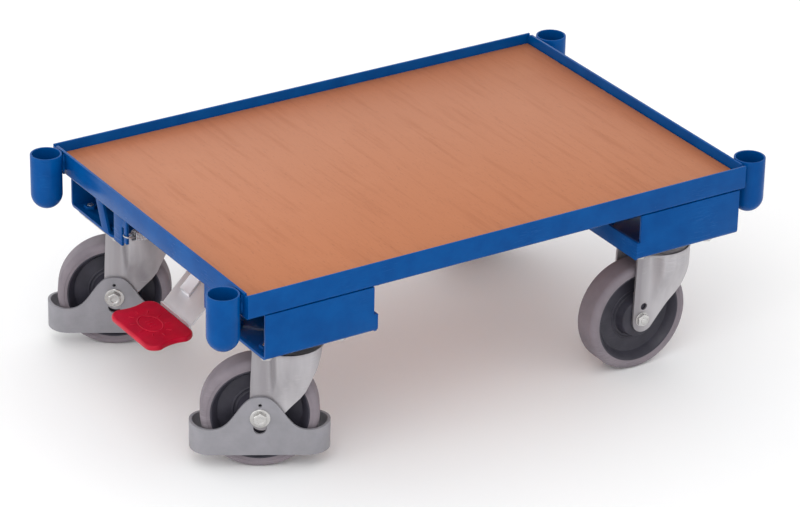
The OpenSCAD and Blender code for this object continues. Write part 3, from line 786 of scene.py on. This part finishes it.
def socket_shape(height, cup):
    """Tube swaged to a round end, with a soft rim."""
    wall = SOCKET_R - SOCKET_BORE
    quarter = [math.radians(a) for a in range(0, 91, 6)]
    outer = [(SOCKET_R * math.sin(a), cup * (1 - math.cos(a))) for a in quarter]
    inner = [(SOCKET_BORE * math.cos(a), cup - (cup - wall) * math.sin(a)) for a in quarter]
    lip = 1.1 * MM
    rim = [(SOCKET_R, height - lip), (SOCKET_R - 0.3 * lip, height - 0.3 * lip), (SOCKET_R - lip, height),
           (SOCKET_BORE + 0.6 * lip, height), (SOCKET_BORE, height - 0.6 * lip)]
    return lathe("socket_pattern", outer + rim + inner, 96)


def weld_bead(length, radius, phase):
    """A run of weld ripples along Z, thinner at its ends."""
    ripple_l = 1.6 * MM
    count = int(length / ripple_l) * 4
    profile = [(0, 0)]
    for i in range(1, count):
        ripple = 0.16 * math.sin(i * math.pi / 2) + 0.08 * math.sin(i * 1.7 + phase)
        ends = min(1.0, 3 * i / count + 0.3, 3 * (count - i) / count + 0.3)
        profile.append((radius * (1 + ripple) * ends, length * i / count))
    profile.append((0, length))
    return lathe("weld_bead", profile, 20)


def make_sockets():
    """Four corner sockets, each with two weld beads on the side of its end rail."""
    for side in SIDES:
        for end in ENDS:
            node = f"socket_{side}_{end}"
            low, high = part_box(node)
            along = -1 if end == "left" else 1
            outer_x = low.x if end == "left" else high.x
            centre = Vector((outer_x - along * SOCKET_R, (low.y + high.y) / 2, low.z))
            parts = [put(socket_shape(high.z - low.z, CUP_H), Matrix.Translation(centre))]
            weld_x = centre.x - along * (SOCKET_R - BEAD_SINK)
            for k, offset in enumerate((-BEAD_OFFSET, BEAD_OFFSET)):
                bead = weld_bead(BEAD_L, BEAD_R, k + 2 * (side == "far") + (end == "right"))
                spot = (weld_x, centre.y + offset, high.z - BEAD_L - BEAD_DROP)
                parts.append(put(bead, Matrix.Translation(spot)))
            hand_over(join(node, parts), node)


# ---------------------------------------------------------------- brake pedal and spring

def make_pad():
    """Moulded pad with round lobes and a soft edge; a raised oval ring and grip ribs lie on its top."""
    node = "pedal_pad"
    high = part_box(node)[1]
    tilt = math.radians(3.6)
    length, half, lobe, waist, thick = 71.8 * MM, 61 * MM, 17 * MM, 4 * MM, 8 * MM
    x_out, x_in = -length + lobe, -lobe
    span = x_in - x_out
    waist_r = ((span / 2) ** 2 + waist ** 2) / (2 * waist)
    waist_a = math.degrees(math.asin(span / 2 / waist_r))
    edge = arc(x_in, half - lobe, lobe, 0, 90, 12)
    edge += arc((x_in + x_out) / 2, half - waist + waist_r, waist_r, -90 + waist_a, -90 - waist_a, 12)[1:]
    edge += arc(x_out, half - lobe, lobe, 90, 180, 12)[1:]
    outline = edge + [(x, -y) for x, y in reversed(edge)]
    pad = slab("pad", outline, thick)
    soften(pad, 2.6 * MM, segments=4, angle=40)
    put(pad, Matrix.Translation((0, 0, -thick)) @ Matrix.Rotation(math.pi / 2, 4, "X")
        @ Matrix.Scale(-1, 4, (0, 0, 1)))
    parts = [pad]
    middle = Vector((-length / 2 - 2 * MM, 0, -0.3 * MM))
    ring = [(1.0 + 0.07 * math.cos(a), math.sin(a)) for a in [math.pi * i / 8 for i in range(9)]]
    oval = lathe("oval", ring + [ring[0]], 72)
    put(oval, Matrix.Translation(middle) @ Matrix.Diagonal((15 * MM, 24 * MM, 1.0 * MM, 1)))
    parts.append(oval)
    bar_l, bar_w, bar_step = 8 * MM, 2 * MM, 7 * MM
    around_x, around_y, around_count = 21.5 * MM, 37 * MM, 10
    bars = [(0, bar_step * k, 0) for k in (-1, 0, 1)]
    for k in range(around_count):
        turn = 2 * math.pi * (k + 0.5) / around_count
        bars.append((around_x * math.cos(turn), around_y * math.sin(turn), turn))
    for x, y, turn in bars:
        deselect()
        bpy.ops.mesh.primitive_cube_add(size=1, location=(0, 0, 0), scale=(bar_l, bar_w, bar_w))
        rib = bpy.context.object
        bpy.ops.object.transform_apply(location=False, rotation=False, scale=True)
        soften(rib, 0.7 * MM, 3)
        parts.append(put(rib, Matrix.Translation(middle + Vector((x, y, 0))) @ Matrix.Rotation(turn, 4, "Z")))
    whole = put(join("pad_whole", parts), Matrix.Rotation(-tilt, 4, "Y"))
    top = max(v.co.z for v in whole.data.vertices if v.co.x > -3 * MM)
    right = max(v.co.x for v in whole.data.vertices)
    put(whole, Matrix.Translation((high.x - right, 0, high.z - top)))
    hand_over(whole, node)


def make_spring():
    """Closed coil of round wire with an eye at each end, between its bracket finger and its crank pin."""
    node = "brake_spring"
    low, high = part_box(node)
    wire, coil_r, eye_r = 2.2 * MM, 7.15 * MM, 5.6 * MM
    half = coil_r + wire / 2
    start = Vector((low.x + half, (low.y + high.y) / 2, high.z - half))
    hinge = Vector(JOINTS["brake_pedal_hinge"]["pos_m"])
    pin_back, pin_drop = 4 * MM, 18 * MM
    end = Vector((hinge.x - pin_back, start.y, hinge.z - pin_drop))
    run = (end - start).length
    coil_from, coil_to = coil_r, run - eye_r - wire
    pitch = 2.5 * MM
    turns = int((coil_to - coil_from) / pitch)

    def wire_ring(radius, angle, rise, count, centre, pose):
        """Round wire swept about Z by the given angle, count times."""
        deselect()
        bpy.ops.mesh.primitive_circle_add(vertices=12, radius=wire / 2, location=(0, 0, 0),
                                          rotation=(math.pi / 2, 0, 0), fill_type="NGON")
        ring = bpy.context.object
        bpy.ops.object.transform_apply(location=False, rotation=True, scale=False)
        put(ring, Matrix.Translation((radius, 0, 0)))
        apply_modifier(ring, "SCREW", angle=angle, screw_offset=rise, iterations=count, steps=28,
                       render_steps=28, axis="Z", use_merge_vertices=True, merge_threshold=1e-5)
        activate(ring)
        bpy.ops.object.mode_set(mode="EDIT")
        tidy_shell(60)
        return put(ring, Matrix.Translation(centre) @ pose)

    along = Matrix.Rotation(math.pi / 2, 4, "Y")
    upright = Matrix.Rotation(math.pi / 2, 4, "X")
    eye_sweep = math.radians(330)
    outer_turn = Matrix.Rotation(math.radians(15), 4, "Z")
    inner_turn = Matrix.Rotation(math.radians(195), 4, "Z")
    parts = [
        wire_ring(coil_r, 2 * math.pi, pitch, turns, (coil_from, 0, 0), along),
        wire_ring(coil_r, eye_sweep, 0, 1, (0, 0, 0), outer_turn),
        wire_ring(eye_r, eye_sweep, 0, 1, (run, 0, 0), upright @ inner_turn),
    ]
    spring = join("spring_whole", parts)
    slope = math.atan2(start.z - end.z, end.x - start.x)
    put(spring, Matrix.Translation(start) @ Matrix.Rotation(slope, 4, "Y"))
    hand_over(spring, node)


# ---------------------------------------------------------------- frame, plates and small parts

def make_refined_parts():
    """Parts whose CAD shape is right: their edges are rounded as rolling, folding or pressing leaves them."""
    sheet = ["rail_near", "rail_far", "end_rail_left", "end_rail_right", "deck_bearers", "brake_brackets"]
    for node in sheet:
        refine(node, 0.7 * MM, segments=3)
    for side in SIDES:
        for end in ENDS:
            refine(f"console_{side}_{end}", 0.6 * MM)
            refine(f"top_plate_{side}_{end}", 0.5 * MM)
            refine(f"axle_sleeve_{side}_{end}", 0.2 * MM, FASTENER)
            refine(f"hub_bush_{side}_{end}", 0.3 * MM)
        refine(f"ball_race_{side}", 0.5 * MM)
        refine(f"kingpin_{side}", 0.4 * MM)
        refine(f"brake_lever_{side}", 0.6 * MM)
        refine(f"brake_plunger_{side}", 0.5 * MM, FASTENER)
    # The pedal arm gets the nearly white zinc: a painted highlight in place of its bright reflection.
    refine("pedal_arm", 1.2 * MM, ZINC_PAINTED_HIGHLIGHT, segments=3)
    refine("brake_shaft", 0.5 * MM)
    refine("mounting_bolts", 0.3 * MM, FASTENER)
    refine("mounting_nuts", 0.3 * MM)
    refine("deck_board", 0.8 * MM)


# ---------------------------------------------------------------- studio

CAMERA_PLACE = (-2.6162, -4.1009, 2.5571)
CAMERA_AZIMUTH = math.radians(-32.288)
CAMERA_ELEVATION = math.radians(26.367)
CAMERA_ROLL = math.radians(1.062)
SENSOR_W = 36
LENS = 174.54
LENS_SHIFT = (0.02285, 0.0013)


def make_camera():
    """Long lens from the near left, above the deck."""
    back = Vector((math.sin(CAMERA_AZIMUTH) * math.cos(CAMERA_ELEVATION),
                   -math.cos(CAMERA_AZIMUTH) * math.cos(CAMERA_ELEVATION), math.sin(CAMERA_ELEVATION)))
    level = Vector((0, 0, 1)).cross(back).normalized()
    upright = back.cross(level)
    right = level * math.cos(CAMERA_ROLL) + upright * math.sin(CAMERA_ROLL)
    up = upright * math.cos(CAMERA_ROLL) - level * math.sin(CAMERA_ROLL)
    data = bpy.data.cameras.new("camera")
    camera = bpy.data.objects.new("camera", data)
    bpy.context.scene.collection.objects.link(camera)
    turn = Matrix((right, up, back)).transposed().to_4x4()
    camera.matrix_world = Matrix.Translation(CAMERA_PLACE) @ turn
    data.sensor_width = SENSOR_W
    data.lens = LENS
    data.shift_x, data.shift_y = LENS_SHIFT
    data.clip_start = 0.1
    data.clip_end = 50
    bpy.context.scene.camera = camera


def make_floor():
    """A plain pale floor."""
    deselect()
    bpy.ops.mesh.primitive_plane_add(size=30, location=(0, 0, 0))
    floor = bpy.context.object
    floor.name = "floor"
    material = bpy.data.materials.new("pale_floor")
    material.use_nodes = True
    shader = material.node_tree.nodes["Principled BSDF"]
    shader.inputs["Base Color"].default_value = (0.98, 0.98, 0.98, 1)
    shader.inputs["Roughness"].default_value = 0.9
    shader.inputs["Specular IOR Level"].default_value = 0.1
    floor.data.materials.append(material)


def make_light(name, place, target, size, power):
    """A square soft light of size metres and power watts, turned to its target."""
    data = bpy.data.lights.new(name, "AREA")
    data.size = size
    data.energy = power
    lamp = bpy.data.objects.new(name, data)
    lamp.location = place
    lamp.rotation_euler = (Vector(target) - Vector(place)).to_track_quat("-Z", "Y").to_euler()
    bpy.context.scene.collection.objects.link(lamp)


def make_studio():
    """Even white surroundings, the floor and three soft lights."""
    world = bpy.data.worlds.new("studio")
    world.use_nodes = True
    bpy.context.scene.world = world
    background = world.node_tree.nodes["Background"]
    background.inputs["Color"].default_value = (1.0, 1.0, 1.0, 1)
    background.inputs["Strength"].default_value = 0.98
    bpy.context.scene.view_settings.view_transform = "Standard"
    make_floor()
    make_light("key", place=(-1.8, -2.2, 3.0), target=(0, 0, 0.2), size=1.8, power=22)
    make_light("fill", place=(-3.2, -0.6, 1.2), target=(-0.3, 0, 0.2), size=1.6, power=14)
    make_light("rim", place=(0.5, 3.0, 2.4), target=(0, 0, 0.2), size=2.0, power=10)


make_camera()
make_refined_parts()
make_sockets()
make_wheels()
make_forks()
make_guards()
make_axle_bolts()
make_pad()
make_spring()
make_studio()
